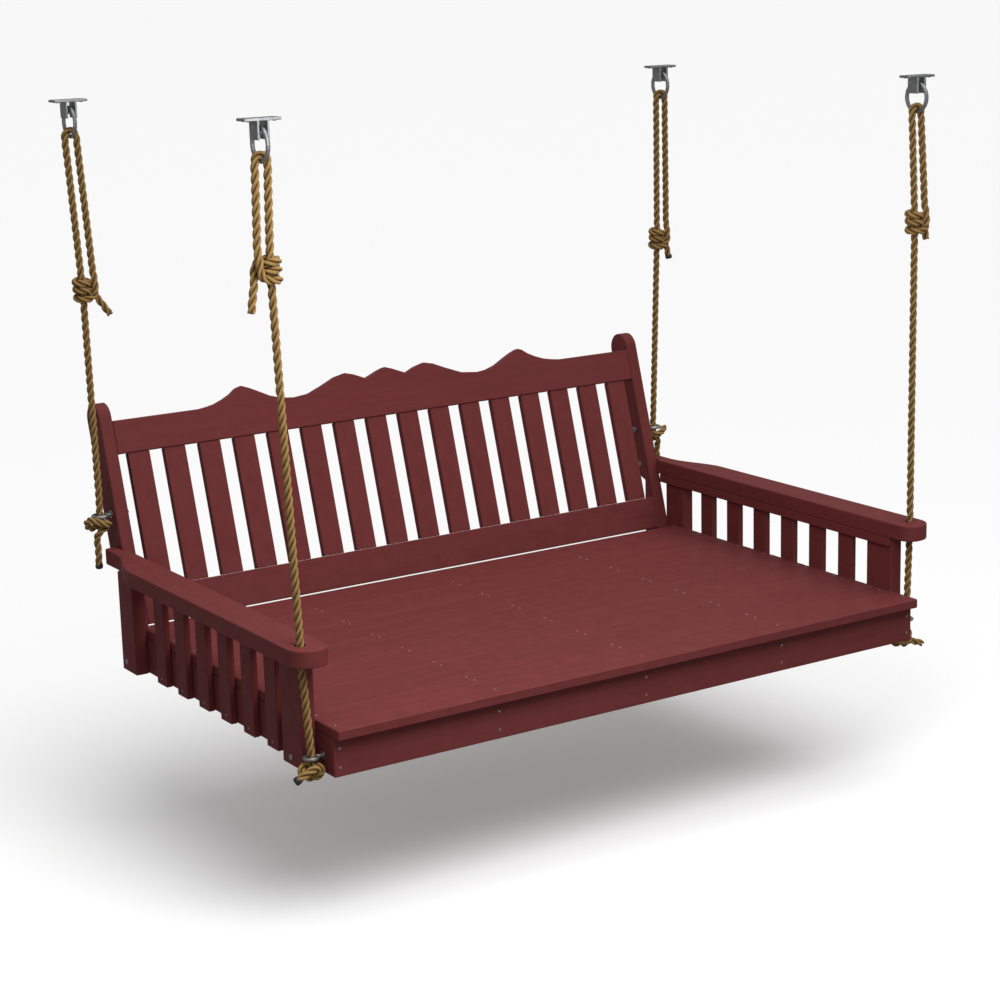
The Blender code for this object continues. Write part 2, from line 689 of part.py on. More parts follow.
def main():
    clear_scene()
    mats = make_materials()
    pins = {}
    for word in ("front", "rear"):
        pins[word] = [hang_line(side, word)[2] for side in (-1, 1)]
    front = anchor("front_rope_pivot", (0.0, pins["front"][0].y, -PIN_DROP))
    rear = anchor("rear_rope_pivot", (0.0, pins["rear"][0].y, -PIN_DROP))
    low = hang_line(1, "front")[0]
    seat = anchor("seat_pivot", (0.0, low.y, low.z), front)
    anchors = {"front": front, "rear": rear, "seat": seat}
    build_deck(seat, mats)
    build_seat_frame(seat, mats)
    for side, word in ((-1, "left"), (1, "right")):
        build_arm_uprights(side, word, seat, mats)
        build_armrest(side, word, seat, mats)
        build_back_post(side, word, seat, mats)
    build_back_rails(seat, mats)
    build_back_slats(seat, mats)
    build_eye_bolts("front", FRONT_EYE, FRONT_EYE_RADIUS, SIDE_RAIL_THICK, seat, mats)
    build_eye_bolts("rear", REAR_EYE, REAR_EYE_RADIUS, POST_THICK + GAP, seat, mats)
    build_ropes(anchors, mats)
    for word in ("front", "rear"):
        for hand, pin in zip(("left", "right"), pins[word]):
            build_hanger("%s_hanger_%s" % (word, hand), pin, mats)
            build_ring("%s_hanger_ring_%s" % (word, hand), pin, anchors[word], mats)


main()
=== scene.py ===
import math

import bmesh
import bpy
import numpy as np
from mathutils import Matrix, Vector


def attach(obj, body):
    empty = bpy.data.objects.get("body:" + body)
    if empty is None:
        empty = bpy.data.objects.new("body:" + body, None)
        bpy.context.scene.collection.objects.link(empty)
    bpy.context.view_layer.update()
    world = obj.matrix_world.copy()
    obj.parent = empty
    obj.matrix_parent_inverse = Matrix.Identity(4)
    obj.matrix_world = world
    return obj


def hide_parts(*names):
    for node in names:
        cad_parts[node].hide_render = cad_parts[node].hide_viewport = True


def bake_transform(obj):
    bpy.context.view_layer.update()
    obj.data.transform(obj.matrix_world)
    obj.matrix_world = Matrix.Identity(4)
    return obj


# Looks of the porch swing seat.  Metres, +Z up, the bench faces -Y, origin in the ceiling
# plane at the centre of the four hangers.

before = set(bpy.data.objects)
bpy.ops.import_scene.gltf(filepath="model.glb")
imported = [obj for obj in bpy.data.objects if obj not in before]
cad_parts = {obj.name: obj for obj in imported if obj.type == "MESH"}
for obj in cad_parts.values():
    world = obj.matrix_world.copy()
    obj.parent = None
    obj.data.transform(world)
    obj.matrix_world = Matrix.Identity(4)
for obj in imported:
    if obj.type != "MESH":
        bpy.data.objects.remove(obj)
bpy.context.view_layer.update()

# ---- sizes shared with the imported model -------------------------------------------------
DECK_TOP_Z = -1.280
DECK_FRONT_Y = -0.6203
HALF_WIDTH = 0.8265
BOARD_COUNT = 7
BOARD_WIDTH = 0.1397
BOARD_PITCH = 0.1413
JOIST_SPACING = 0.4064
APRON_FRONT_Y = 0.023
REAR_APRON_BACK_Y = 0.9885
ARM_SLAT_COUNT = 6
ARM_SLAT_WIDTH = 0.0522
ARM_SLAT_PITCH = 0.1143
ARM_SLAT_REAR_Y = 0.8715
ARM_SLAT_FACE = 0.0169       # outer faces beyond the side rail's face
LEG_FACE = 0.0353
POST_FACE = 0.0343           # inner face of a back post inside the side rail's face
HANGER_PLATE = 0.006
ROPE_RADIUS = 0.009
LOOP_RADIUS = 0.0143
PIN_DROP = 0.030
RING_DROP = 0.0237           # middle of a hanger ring below its pin
RING_RADIUS = 0.034
HOLE_DROP = 0.032            # middle of the armrest's hole below the front rope's joint
FRONT_JOINT = (0.041, 0.0765, 0.191)     # outboard distance, y, z
FRONT_EYE = (0.029, 0.0712, -0.072)
REAR_EYE = (0.029, 1.128, 0.259)
FRONT_LEAN = (0.0219, 0.0238)
REAR_LEAN = (0.0207, -0.0214)

# ---- camera -----------------------------------------------------------------------------
CAMERA_PLACE = (-3.0220, -4.6618, 0.2937)
CAMERA_AZIMUTH = math.radians(-32.923)
CAMERA_ELEVATION = math.radians(13.264)
CAMERA_ROLL = math.radians(-1.472)
CAMERA_LENS = 82.39
CAMERA_SENSOR = 36.0
CAMERA_REACH = 1200.0


def seat_point(x, y, z):
    """World place of a point given from the middle of the deck's front top edge."""
    return Vector((x, y + DECK_FRONT_Y, z + DECK_TOP_Z))


def add_camera():
    data = bpy.data.cameras.new("view")
    data.lens = CAMERA_LENS
    data.sensor_width = CAMERA_SENSOR
    data.clip_end = CAMERA_REACH
    camera = bpy.data.objects.new("view", data)
    bpy.context.collection.objects.link(camera)
    a, e = CAMERA_AZIMUTH, CAMERA_ELEVATION
    back = Vector((math.sin(a) * math.cos(e), -math.cos(a) * math.cos(e), math.sin(e)))
    level = Vector((math.cos(a), math.sin(a), 0.0))
    upright = back.cross(level)
    right = level * math.cos(CAMERA_ROLL) + upright * math.sin(CAMERA_ROLL)
    up = back.cross(right)
    turn = Matrix((right, up, back)).transposed().to_4x4()
    camera.matrix_world = Matrix.Translation(CAMERA_PLACE) @ turn
    bpy.context.scene.camera = camera


# ---- node materials ---------------------------------------------------------------------
class Nodes:
    """Small helper that adds and joins shader nodes in one material."""

    def __init__(self, name):
        self.mat = bpy.data.materials.new(name)
        self.mat.use_nodes = True
        self.tree = self.mat.node_tree
        self.shader = self.tree.nodes["Principled BSDF"]

    def add(self, kind, **settings):
        node = self.tree.nodes.new(kind)
        for key, value in settings.items():
            setattr(node, key, value)
        return node

    def join(self, out, target):
        self.tree.links.new(out, target)

    def coordinates(self, kind, scale):
        source = self.add("ShaderNodeTexCoord")
        mapping = self.add("ShaderNodeMapping")
        mapping.inputs["Scale"].default_value = scale
        self.join(source.outputs[kind], mapping.inputs["Vector"])
        return mapping.outputs["Vector"]

    def noise(self, vector, scale, detail=4.0, roughness=0.55, distortion=0.0):
        node = self.add("ShaderNodeTexNoise")
        node.inputs["Scale"].default_value = scale
        node.inputs["Detail"].default_value = detail
        node.inputs["Roughness"].default_value = roughness
        node.inputs["Distortion"].default_value = distortion
        self.join(vector, node.inputs["Vector"])
        return node.outputs["Fac"]

    def spread(self, value, low, high, new_low, new_high):
        node = self.add("ShaderNodeMapRange")
        node.inputs["From Min"].default_value = low
        node.inputs["From Max"].default_value = high
        node.inputs["To Min"].default_value = new_low
        node.inputs["To Max"].default_value = new_high
        self.join(value, node.inputs["Value"])
        return node.outputs["Result"]

    def math(self, operation, a, b):
        node = self.add("ShaderNodeMath", operation=operation)
        for slot, value in ((0, a), (1, b)):
            if isinstance(value, (int, float)):
                node.inputs[slot].default_value = value
            else:
                self.join(value, node.inputs[slot])
        return node.outputs[0]

    def mix(self, factor, a, b):
        node = self.add("ShaderNodeMix", data_type="RGBA", blend_type="MIX")
        for name, value in (("Factor", factor), ("A", a), ("B", b)):
            socket = [s for s in node.inputs if s.name == name and s.enabled][0]
            if isinstance(value, (int, float)):
                socket.default_value = value
            elif isinstance(value, tuple):
                socket.default_value = (*value, 1.0)
            else:
                self.join(value, socket)
        return [s for s in node.outputs if s.enabled][0]

    def bump(self, height, strength, distance, below=None):
        node = self.add("ShaderNodeBump")
        node.inputs["Strength"].default_value = strength
        node.inputs["Distance"].default_value = distance
        self.join(height, node.inputs["Height"])
        if below is not None:
            self.join(below, node.inputs["Normal"])
        return node.outputs["Normal"]


GRAIN_ALONG = {"x": (0.06, 1.0, 1.0), "y": (1.0, 0.06, 1.0), "z": (1.0, 1.0, 0.06)}
PAINT = (0.166, 0.0365, 0.0365)
PAINT_DARK = (0.132, 0.0275, 0.0275)
PAINT_LIGHT = (0.190, 0.0440, 0.0435)


def paint_material(name, axis):
    """Dark red satin paint over planed timber: brush marks, faint grain and soft wear."""
    n = Nodes(name)
    along = n.coordinates("Object", GRAIN_ALONG[axis])
    free = n.coordinates("Object", (1.0, 1.0, 1.0))
    random = n.add("ShaderNodeObjectInfo").outputs["Random"]
    broad = n.noise(free, 2.3, 3.0)
    brush = n.noise(along, 220.0, 3.0, 0.6)
    grain = n.noise(along, 46.0, 6.0, 0.62, 0.8)
    colour = n.mix(n.spread(broad, 0.3, 0.7, 0.0, 0.40), PAINT, PAINT_LIGHT)
    colour = n.mix(n.spread(grain, 0.35, 0.75, 0.0, 0.45), colour, PAINT_DARK)
    shade = n.spread(random, 0.0, 1.0, 0.97, 1.03)
    streak = n.spread(brush, 0.3, 0.7, 0.95, 1.05)
    value = n.math("MULTIPLY", shade, streak)
    bright = n.add("ShaderNodeHueSaturation")
    n.join(value, bright.inputs["Value"])
    n.join(colour, bright.inputs["Color"])
    worn = edge_wear(n, free)
    final = n.mix(worn, bright.outputs["Color"], PAINT_LIGHT)
    n.join(final, n.shader.inputs["Base Color"])
    rough = n.spread(n.noise(free, 34.0, 4.0), 0.3, 0.7, 0.46, 0.62)
    n.join(rough, n.shader.inputs["Roughness"])
    normal = n.bump(brush, 0.16, 0.0006)
    normal = n.bump(grain, 0.20, 0.0012, normal)
    n.join(normal, n.shader.inputs["Normal"])
    n.shader.inputs["Specular IOR Level"].default_value = 0.06
    return n.mat


def edge_wear(n, vector):
    """Thin paint on convex edges, broken up by noise."""
    geometry = n.add("ShaderNodeNewGeometry")
    edge = n.spread(geometry.outputs["Pointiness"], 0.52, 0.62, 0.0, 0.5)
    patch = n.spread(n.noise(vector, 26.0, 5.0), 0.45, 0.65, 0.0, 1.0)
    return n.math("MULTIPLY", edge, patch)


ROPE_LIGHT = (0.480, 0.300, 0.112)
ROPE_MID = (0.335, 0.195, 0.062)
# painted shade colour for the lay's grooves and the dips between yarns
ROPE_SHADE = (0.100, 0.050, 0.011)


def rope_material():
    """Tan three-strand fibre rope: yarns along each strand, with shade painted into the lay's
    grooves and into the dips between the yarns.
    """
    n = Nodes("rope fibre")
    uv = n.coordinates("UV", (1.0, 1.0, 1.0))
    split = n.add("ShaderNodeSeparateXYZ")
    n.join(uv, split.inputs["Vector"])
    along, around = split.outputs["X"], split.outputs["Y"]
    yarn_phase = n.math("ADD", n.math("MULTIPLY", around, 9.0), n.math("MULTIPLY", along, 60.0))
    wave = n.math("SINE", n.math("MULTIPLY", yarn_phase, 2 * math.pi), 0.0)
    fibre_uv = n.coordinates("UV", (160.0, 26.0, 1.0))
    fibre = n.noise(fibre_uv, 1.0, 6.0, 0.7)
    patch_uv = n.coordinates("UV", (14.0, 1.2, 1.0))
    patch = n.noise(patch_uv, 1.0, 3.0)
    # painted shade weight, darkest on each strand's inward side in the lay's grooves
    groove_shade_fac = n.add("ShaderNodeAttribute", attribute_name="groove_shade").outputs["Fac"]
    colour = n.mix(n.spread(fibre, 0.3, 0.7, 0.0, 1.0), ROPE_MID, ROPE_LIGHT)
    colour = n.mix(n.spread(patch, 0.35, 0.7, 0.0, 0.35), colour, ROPE_MID)
    # painted shade in the dips between yarns, where the yarn bump is lowest
    yarn_shade = n.spread(wave, -1.0, -0.2, 0.38, 0.0)
    colour = n.mix(yarn_shade, colour, ROPE_SHADE)
    # painted shade in the lay's grooves
    colour = n.mix(n.spread(groove_shade_fac, 0.0, 1.0, 0.0, 0.85), colour, ROPE_SHADE)
    n.join(colour, n.shader.inputs["Base Color"])
    n.shader.inputs["Roughness"].default_value = 0.82
    n.shader.inputs["Sheen Weight"].default_value = 0.05
    n.shader.inputs["Specular IOR Level"].default_value = 0.14
    normal = n.bump(wave, 0.45, 0.0006)
    normal = n.bump(fibre, 0.35, 0.0005, normal)
    n.join(normal, n.shader.inputs["Normal"])
    return n.mat


def steel_material(name, colour, rough_low, rough_high):
    """Zinc-plated steel with spangle, fine scratches and dull patches."""
    n = Nodes(name)
    free = n.coordinates("Object", (1.0, 1.0, 1.0))
    spangle = n.add("ShaderNodeTexVoronoi")
    spangle.inputs["Scale"].default_value = 260.0
    n.join(free, spangle.inputs["Vector"])
    cells = n.spread(spangle.outputs["Distance"], 0.0, 0.7, 0.86, 1.06)
    dull = n.noise(free, 90.0, 5.0)
    tint = n.mix(n.spread(dull, 0.4, 0.75, 0.0, 0.6), colour, tuple(c * 0.62 for c in colour))
    bright = n.add("ShaderNodeHueSaturation")
    n.join(cells, bright.inputs["Value"])
    n.join(tint, bright.inputs["Color"])
    n.join(bright.outputs["Color"], n.shader.inputs["Base Color"])
    n.join(n.spread(dull, 0.3, 0.7, rough_low, rough_high), n.shader.inputs["Roughness"])
    n.shader.inputs["Metallic"].default_value = 0.9
    scratch = n.noise(n.coordinates("Object", (1.0, 0.12, 1.0)), 900.0, 2.0)
    n.join(n.bump(scratch, 0.12, 0.0003), n.shader.inputs["Normal"])
    return n.mat


def tip_material():
    """Black dipped rope end: lumpy, half-matt."""
    n = Nodes("dipped end")
    free = n.coordinates("Object", (1.0, 1.0, 1.0))
    lumps = n.noise(free, 420.0, 4.0)
    n.join(n.mix(lumps, (0.006, 0.006, 0.006), (0.022, 0.021, 0.020)),
           n.shader.inputs["Base Color"])
    n.join(n.spread(lumps, 0.3, 0.7, 0.38, 0.62), n.shader.inputs["Roughness"])
    n.join(n.bump(lumps, 0.5, 0.001), n.shader.inputs["Normal"])
    return n.mat


# ---- rope routes ------------------------------------------------------------------------
# Each hitch: height above the deck, which way its returning strand lies, and how far its
# free end reaches beyond and below the middle of the hitch.
HITCHES = {
    "front_left": (0.975, -1, 0.052, 0.086),
    "front_right": (0.927, 1, 0.038, 0.046),
    "rear_left": (0.826, 1, 0.066, 0.068),
    "rear_right": (0.802, 1, 0.042, 0.060)}

# The working strand in a hitch, in millimetres beyond, in front of and above the middle of
# the standing strand: down beside it, three turns round it and out behind itself.
HITCH_ROUTE = (
    (28, 4, 42), (28.5, 8, 25), (28.5, 10, 8), (28, 11, -5), (24, 12, -15), (15, 14, -20),
    (4, 16, -23), (-8, 14, -22.5), (-15, 6, -22), (-16, -3, -21), (-11, -12, -19),
    (0, -16, -16), (12, -12, -12), (16, -3, -8), (12, 9, -4.5), (3, 15.5, -2.5),
    (-8, 14, -1), (-15, 6, 0), (-16, -3, 1), (-10, -12, 3), (1, -16, 6),
    (12, -10, 9), (16, -1, 12), (10, 11, 14.5), (-1, 16, 15.5), (-11, 12, 16.5),
    (-16, 3, 17.5), (-15, -7, 19), (-7, -15, 20), (6, -17.5, 20), (17, -16.5, 17),
    (26, -13.5, 9), (31, -11, -1), (34, -9, -11))
HITCH_EXIT = (36, -5, -21)

# Stopper knots below their eyes, from the top, in millimetres outboard, in front of and
# above the middle of the eye.
FRONT_KNOTS = {
    "left": (
        (0, 0, -13), (-6, 8, -18), (-15, 12, -22), (-19, 10, -31), (-13, 6, -40), (1, 4, -43),
        (16, 2, -38), (24, -2, -28), (18, -8, -20), (4, -13.5, -18), (-8, -12, -22),
        (-9, -3, -30), (-6, 8, -34), (-4, 18, -28), (-1, 24, -19), (9, 27, -17), (22, 28, -21),
        (38, 28, -28), (53, 26, -36)),
    "right": (
        (0, 0, -13), (1, 4, -24), (0, 9, -35), (-6, 10, -45), (-17, 6, -53), (-28, 0, -59),
        (-31, -7, -60), (-24, -12, -58), (-11, -12, -51), (0, -9, -45), (5, -1, -42),
        (3, 9, -46), (-6, 12, -55), (-13, 6, -62), (-7, -2, -62), (6, 0, -60), (18, 6, -61),
        (32, 9, -66), (46, 10, -71))}
REAR_KNOT = (
    (-3, 7, -14), (-10, 17, -17), (-10, 26, -18), (3, 28, -15), (18, 22, -9), (30, 12, -5),
    (35, 1, -10), (33, -7, -21), (24, -12, -30), (10, -15, -31), (-4, -13, -26),
    (-12, -2, -24), (-9, 9, -28), (3, 12, -35), (11, 7, -44), (13, 1, -57), (12, 1, -74),
    (12, 2, -92), (12, 1, -111), (12, 0, -131))


def hang_line(side, word):
    """Lower joint, slope per metre of rise and pin of one hanging rope, in world places."""
    out, y, z = FRONT_JOINT if word == "front" else REAR_EYE
    lean = FRONT_LEAN if word == "front" else REAR_LEAN
    low = seat_point(side * (HALF_WIDTH + out), y, z)
    slope = Vector((side * lean[0], lean[1], 1.0))
    return low, slope, low + slope * (-PIN_DROP - low.z)


def between(start, end, count):
    return [start.lerp(end, (i + 1) / (count + 1)) for i in range(count)]


def local_points(route, middle, out, front, up):
    """Places of a knot's millimetre route about its middle."""
    return [middle + (out * o + front * f + up * z) * 0.001 for o, f, z in route]


def upper_route(side, word, hand, start):
    """Up from start to the ring, over it, down again and through the hitch."""
    low, slope, pin = hang_line(side, word)
    height, way, reach, drop = HITCHES[word + "_" + hand]
    up = slope.normalized()
    out = Vector((way, 0, 0))
    front = out.cross(up) * way
    hitch = low + slope * (height + DECK_TOP_Z - low.z)
    bend = pin - Vector((0, 0, RING_DROP + RING_RADIUS))
    route = between(start, hitch, 9) + [hitch] + between(hitch, bend - out * LOOP_RADIUS, 4)
    for step in range(8, -1, -1):
        turn = math.pi * step / 8
        swing = out * math.cos(turn) + Vector((0, 0, math.sin(turn)))
        route.append(bend + swing * LOOP_RADIUS)
    wraps = local_points(HITCH_ROUTE, hitch, out, front, up)
    route += between(bend + out * LOOP_RADIUS, wraps[0], 4) + wraps
    leave, tip = local_points((HITCH_EXIT, (reach * 1000, 2, -drop * 1000)),
                              hitch, out, front, up)
    return route + [leave] + between(leave, tip, 1) + [tip]


def knot_points(side, eye, route):
    out, front, up = Vector((side, 0, 0)), Vector((0, -1, 0)), Vector((0, 0, 1))
    return local_points(route, eye, out, front, up)


def front_route(side, hand):
    """Whole front rope from its lower free end to the free end of its hitch."""
    low = hang_line(side, "front")[0]
    eye = seat_point(side * (HALF_WIDTH + FRONT_EYE[0]), FRONT_EYE[1], FRONT_EYE[2])
    tail = knot_points(side, eye, FRONT_KNOTS[hand])[::-1]
    hole = low - Vector((0, 0, HOLE_DROP))
    route = tail + [eye] + between(eye, hole, 4) + [hole, low]
    return route + upper_route(side, "front", hand, low)


def rear_route(side, hand):
    low = hang_line(side, "rear")[0]
    return knot_points(side, low, REAR_KNOT)[::-1] + [low] + upper_route(side, "rear", hand, low)


def smooth_line(points, step):
    """Evenly spaced points on a smooth curve through the route's points."""
    p = np.array([tuple(q) for q in points], float)
    p = np.vstack([2 * p[0] - p[1], p, 2 * p[-1] - p[-2]])
    fine = []
    for i in range(1, len(p) - 2):
        a, b, c, d = p[i - 1:i + 3]
        spans = ((a, b), (b, c), (c, d))
        ta, tb, tc = (max(np.linalg.norm(v - u) ** 0.5, 1e-6) for u, v in spans)
        m1 = (c - b) + tb * ((b - a) / ta - (c - a) / (ta + tb))
        m2 = (c - b) + tb * ((d - c) / tc - (d - b) / (tb + tc))
        for t in np.linspace(0, 1, 16, endpoint=False):
            h = t * t * (3 - 2 * t)
            w1, w2 = t ** 3 - 2 * t * t + t, t ** 3 - t * t
            fine.append((1 - h) * b + h * c + w1 * m1 + w2 * m2)
    fine = np.array(fine + [p[-2]])
    far = np.concatenate([[0], np.cumsum(np.linalg.norm(np.diff(fine, axis=0), axis=1))])
    count = int(far[-1] / step) + 1
    places = np.linspace(0, far[-1], count)
    line = np.stack([np.interp(places, far, fine[:, k]) for k in range(3)], axis=1)
    return line, places


def moving_frame(line):
    """A normal carried along the line without twisting, and its cross direction."""
    tangents = np.gradient(line, axis=0)
    tangents /= np.linalg.norm(tangents, axis=1)[:, None]
    normal = np.cross(tangents[0], (0.0, 1.0, 0.0))
    normals = []
    for t in tangents:
        normal = normal - t * normal.dot(t)
        normal /= np.linalg.norm(normal)
        normals.append(normal)
    normals = np.array(normals)
    return tangents, normals, np.cross(tangents, normals)


# ---- rope meshes ------------------------------------------------------------------------
ROPE_STEP = 0.003
ROPE_LAY = 0.066             # length of one full turn of a strand
STRAND_SIDES = 10
STRAND_OFFSET = 0.545 * ROPE_RADIUS
STRAND_RADIUS = 0.475 * ROPE_RADIUS
GROOVE_SHADE_START = 0.62          # cosine round a strand where the painted shade of its groove begins
# how quickly the painted groove shade deepens round a strand
GROOVE_SHADE_REACH = 1.1
END_SHARE = 0.80             # thickness of a strand at a cut end
END_LENGTH = 0.006
TIP_SIDES = 18
TIP_REACH = 5                # points of the line under a dipped sleeve
TIP_PROFILE = (              # height beyond the rope's end, share of its radius
    (-0.009, 0.90), (-0.0085, 1.02), (-0.004, 1.06), (0.0, 1.02), (0.0016, 0.86),
    (0.0024, 0.55), (0.0028, 0.0))
TIP_LOBE = 0.045
TIP_TWIST = 60


def rope_mesh(name, line, places):
    """Three strands laid right-handed round the line, each a closed tube with uv."""
    tangents, normals, crosses = moving_frame(line)
    vertices, faces, uvs, groove_shade = [], [], [], []
    turn = 2 * math.pi * places / ROPE_LAY
    for strand in range(3):
        angle = turn + 2 * math.pi * strand / 3
        outward = normals * np.cos(angle)[:, None] + crosses * np.sin(angle)[:, None]
        centre = line + outward * STRAND_OFFSET
        sideways = np.cross(tangents, outward)
        start = len(vertices)
        for i in range(len(line)):
            taper = end_taper(places[i], places[-1])
            for k in range(STRAND_SIDES):
                roll = 2 * math.pi * k / STRAND_SIDES
                offset = outward[i] * math.cos(roll) + sideways[i] * math.sin(roll)
                vertices.append(centre[i] + offset * STRAND_RADIUS * taper)
                # painted shade weight: grows as the strand's surface turns inward into the
                # groove
                groove_shade.append(min(1.0, max(0.0, GROOVE_SHADE_START - math.cos(roll)) / GROOVE_SHADE_REACH))
        for i in range(len(line) - 1):
            for k in range(STRAND_SIDES):
                j = (k + 1) % STRAND_SIDES
                a = start + i * STRAND_SIDES
                b = a + STRAND_SIDES
                faces.append((a + k, a + j, b + j, b + k))
                v0, v1 = k / STRAND_SIDES, (k + 1) / STRAND_SIDES
                u0, u1 = places[i], places[i + 1]
                uvs += [(u0, v0), (u0, v1), (u1, v1), (u1, v0)]
        last = start + (len(line) - 1) * STRAND_SIDES
        for first, order in ((start, -1), (last, 1)):
            cap = [first + k for k in range(STRAND_SIDES)][::order]
            faces.append(tuple(cap))
            uvs += [(places[0], 0.0)] * STRAND_SIDES
    mesh = bpy.data.meshes.new(name)
    mesh.from_pydata([tuple(v) for v in vertices], [], faces)
    layer = mesh.uv_layers.new(name="UVMap")
    layer.data.foreach_set("uv", np.array(uvs, float).ravel())
    # stores the painted groove shade for the rope material
    shade = mesh.attributes.new("groove_shade", "FLOAT", "POINT")
    shade.data.foreach_set("value", np.array(groove_shade, float))
    mesh.shade_smooth()
    return mesh


def end_taper(place, total):
    """Strands pinch in slightly over the last few millimetres of a free end."""
    near = min(place, total - place)
    return END_SHARE + (1.0 - END_SHARE) * min(1.0, near / END_LENGTH)


def add_piece(name, mesh, material):
    item = bpy.data.objects.new(name, mesh)
    bpy.context.collection.objects.link(item)
    mesh.materials.append(material)
    return item


def tip_piece(name, line, body, material, at_start):
    """Dipped black sleeve and dome on a rope's free end."""
    points = line[:TIP_REACH] if at_start else line[::-1][:TIP_REACH]
    tip, inner = Vector(points[0]), Vector(points[-1])
    along = (tip - inner).normalized()
    bm = bmesh.new()
    rings = []
    turn = Vector((0, 0, 1)).rotation_difference(along).to_matrix()
    for rise, share in TIP_PROFILE[:-1]:
        ring = []
        for k in range(TIP_SIDES):
            angle = 2 * math.pi * k / TIP_SIDES
            lobes = 1.0 + TIP_LOBE * math.cos(3 * angle + rise * TIP_TWIST)
            radius = ROPE_RADIUS * share * lobes
            spot = Vector((radius * math.cos(angle), radius * math.sin(angle), rise))
            ring.append(bm.verts.new(tip + turn @ spot))
        rings.append(ring)
    for a, b in zip(rings, rings[1:]):
        for k in range(TIP_SIDES):
            j = (k + 1) % TIP_SIDES
            bm.faces.new((a[k], a[j], b[j], b[k]))
    top = bm.verts.new(tip + along * TIP_PROFILE[-1][0])
    for k in range(TIP_SIDES):
        bm.faces.new((rings[-1][k], rings[-1][(k + 1) % TIP_SIDES], top))
    bm.faces.new(rings[0][::-1])
    mesh = bpy.data.meshes.new(name)
    bm.to_mesh(mesh)
    bm.free()
    mesh.shade_smooth()
    item = add_piece(name, mesh, material)
    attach(item, body)
    return item


def build_ropes():
    fibre = rope_material()
    black = tip_material()
    for side, hand in ((-1, "left"), (1, "right")):
        line, places = smooth_line(front_route(side, hand), ROPE_STEP)
        name = "front_rope_" + hand
        rope = add_piece(name + "_laid", rope_mesh(name, line, places), fibre)
        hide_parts("front_rope_upper_" + hand, "front_rope_lower_" + hand)
        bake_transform(rope)
        tips = []
        if hand == "left":
            tips.append(tip_piece(name + "_lower_tip", line, "seat", black, True))
        line, places = smooth_line(rear_route(side, hand), ROPE_STEP)
        name = "rear_rope_" + hand
        rope = add_piece(name + "_laid", rope_mesh(name, line, places), fibre)
        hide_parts(name)
        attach(rope, "rear_ropes")
        tips = [tip_piece(name + "_lower_tip", line, "rear_ropes", black, True)]
        if hand == "right":
            tips.append(tip_piece(name + "_hitch_tip", line, "rear_ropes", black, False))


# ---- screws -----------------------------------------------------------------------------
SCREW_SIDES = 16
HEAD_PROFILE = ((1.0, 0.0), (0.96, 0.55), (0.70, 0.95), (0.42, 1.0))  # radius, height
RECESS_ARM = 0.40            # shares of the head's radius and height
RECESS_CORNER = 0.12
RECESS_FLOOR = 0.35
SCREW_SPIN = 0.83            # turn from one screw to the next
HEAD_CREASE = math.radians(40)
SCREW_RADIUS = 0.0032
SCREW_HEIGHT = 0.0012
SCREW_SINK = 0.0004          # how far a screw head is pulled into the timber
HANGER_SCREW = (0.0045, 0.0022)          # radius, height
BOLT_HEAD = (0.0072, 0.0035)
END_SCREW_INSET = 0.0145     # outermost screws inside the side rail's face
BOARD_SCREW_INSET = 0.0154
FIRST_SCREW_INSET = 0.0395   # front row of the first board, behind its overhang
APRON_SCREW_Z = (-0.047, -0.090)
ARM_SCREW_Z = -0.095
HANGER_SCREW_SHIFT = 0.030
HANGER_SCREW_ACROSS = 0.009
LEG_BOLTS = ((0.152, -0.092), (1.006, -0.087))       # y, z
POST_BOLT = (1.107, 0.162)


def add_screw(bm, centre, direction, radius, height, spin):
    """Domed screw head with a cross recess, standing on centre."""
    turn = Vector((0, 0, 1)).rotation_difference(Vector(direction)).to_matrix()
    twist = Matrix.Rotation(spin, 3, "Z")
    sides = SCREW_SIDES
    rings = []
    for share, rise in HEAD_PROFILE:
        ring = []
        for k in range(sides):
            angle = 2 * math.pi * k / sides
            spot = Vector((math.cos(angle), math.sin(angle), 0.0)) * (radius * share)
            ring.append(bm.verts.new(centre + turn @ (spot + Vector((0, 0, rise * height)))))
        rings.append(ring)
    for a, b in zip(rings, rings[1:]):
        for k in range(sides):
            j = (k + 1) % sides
            bm.faces.new((a[k], a[j], b[j], b[k]))
    recess = []
    for k in range(sides):
        angle = 2 * math.pi * k / sides
        cross = RECESS_ARM if k % 4 == 0 else RECESS_CORNER
        spot = twist @ Vector((math.cos(angle), math.sin(angle), 0.0)) * (radius * cross)
        floor = Vector((0, 0, RECESS_FLOOR * height))
        recess.append(bm.verts.new(centre + turn @ (spot + floor)))
    for k in range(sides):
        j = (k + 1) % sides
        bm.faces.new((rings[-1][k], rings[-1][j], recess[j], recess[k]))
    bm.faces.new(recess)
    bm.faces.new(rings[0][::-1])


def screw_columns():
    end = HALF_WIDTH - END_SCREW_INSET
    return (-end, -JOIST_SPACING, 0.0, JOIST_SPACING, end)


def deck_screw_places():
    for x in screw_columns():
        for i in range(BOARD_COUNT):
            start = i * BOARD_PITCH
            first = FIRST_SCREW_INSET if i == 0 else BOARD_SCREW_INSET
            for y in (start + first, start + BOARD_WIDTH - BOARD_SCREW_INSET):
                yield (x, y, -SCREW_SINK), (0, 0, 1)


def apron_screw_places():
    for x in screw_columns():
        for z in APRON_SCREW_Z:
            yield (x, APRON_FRONT_Y + SCREW_SINK, z), (0, -1, 0)
            yield (x, REAR_APRON_BACK_Y - SCREW_SINK, z), (0, 1, 0)


def arm_screw_places():
    for side in (-1, 1):
        x = side * (HALF_WIDTH + ARM_SLAT_FACE - SCREW_SINK)
        for i in range(ARM_SLAT_COUNT):
            y = ARM_SLAT_REAR_Y - ARM_SLAT_WIDTH / 2 - i * ARM_SLAT_PITCH
            yield (x, y, ARM_SCREW_Z), (side, 0, 0)


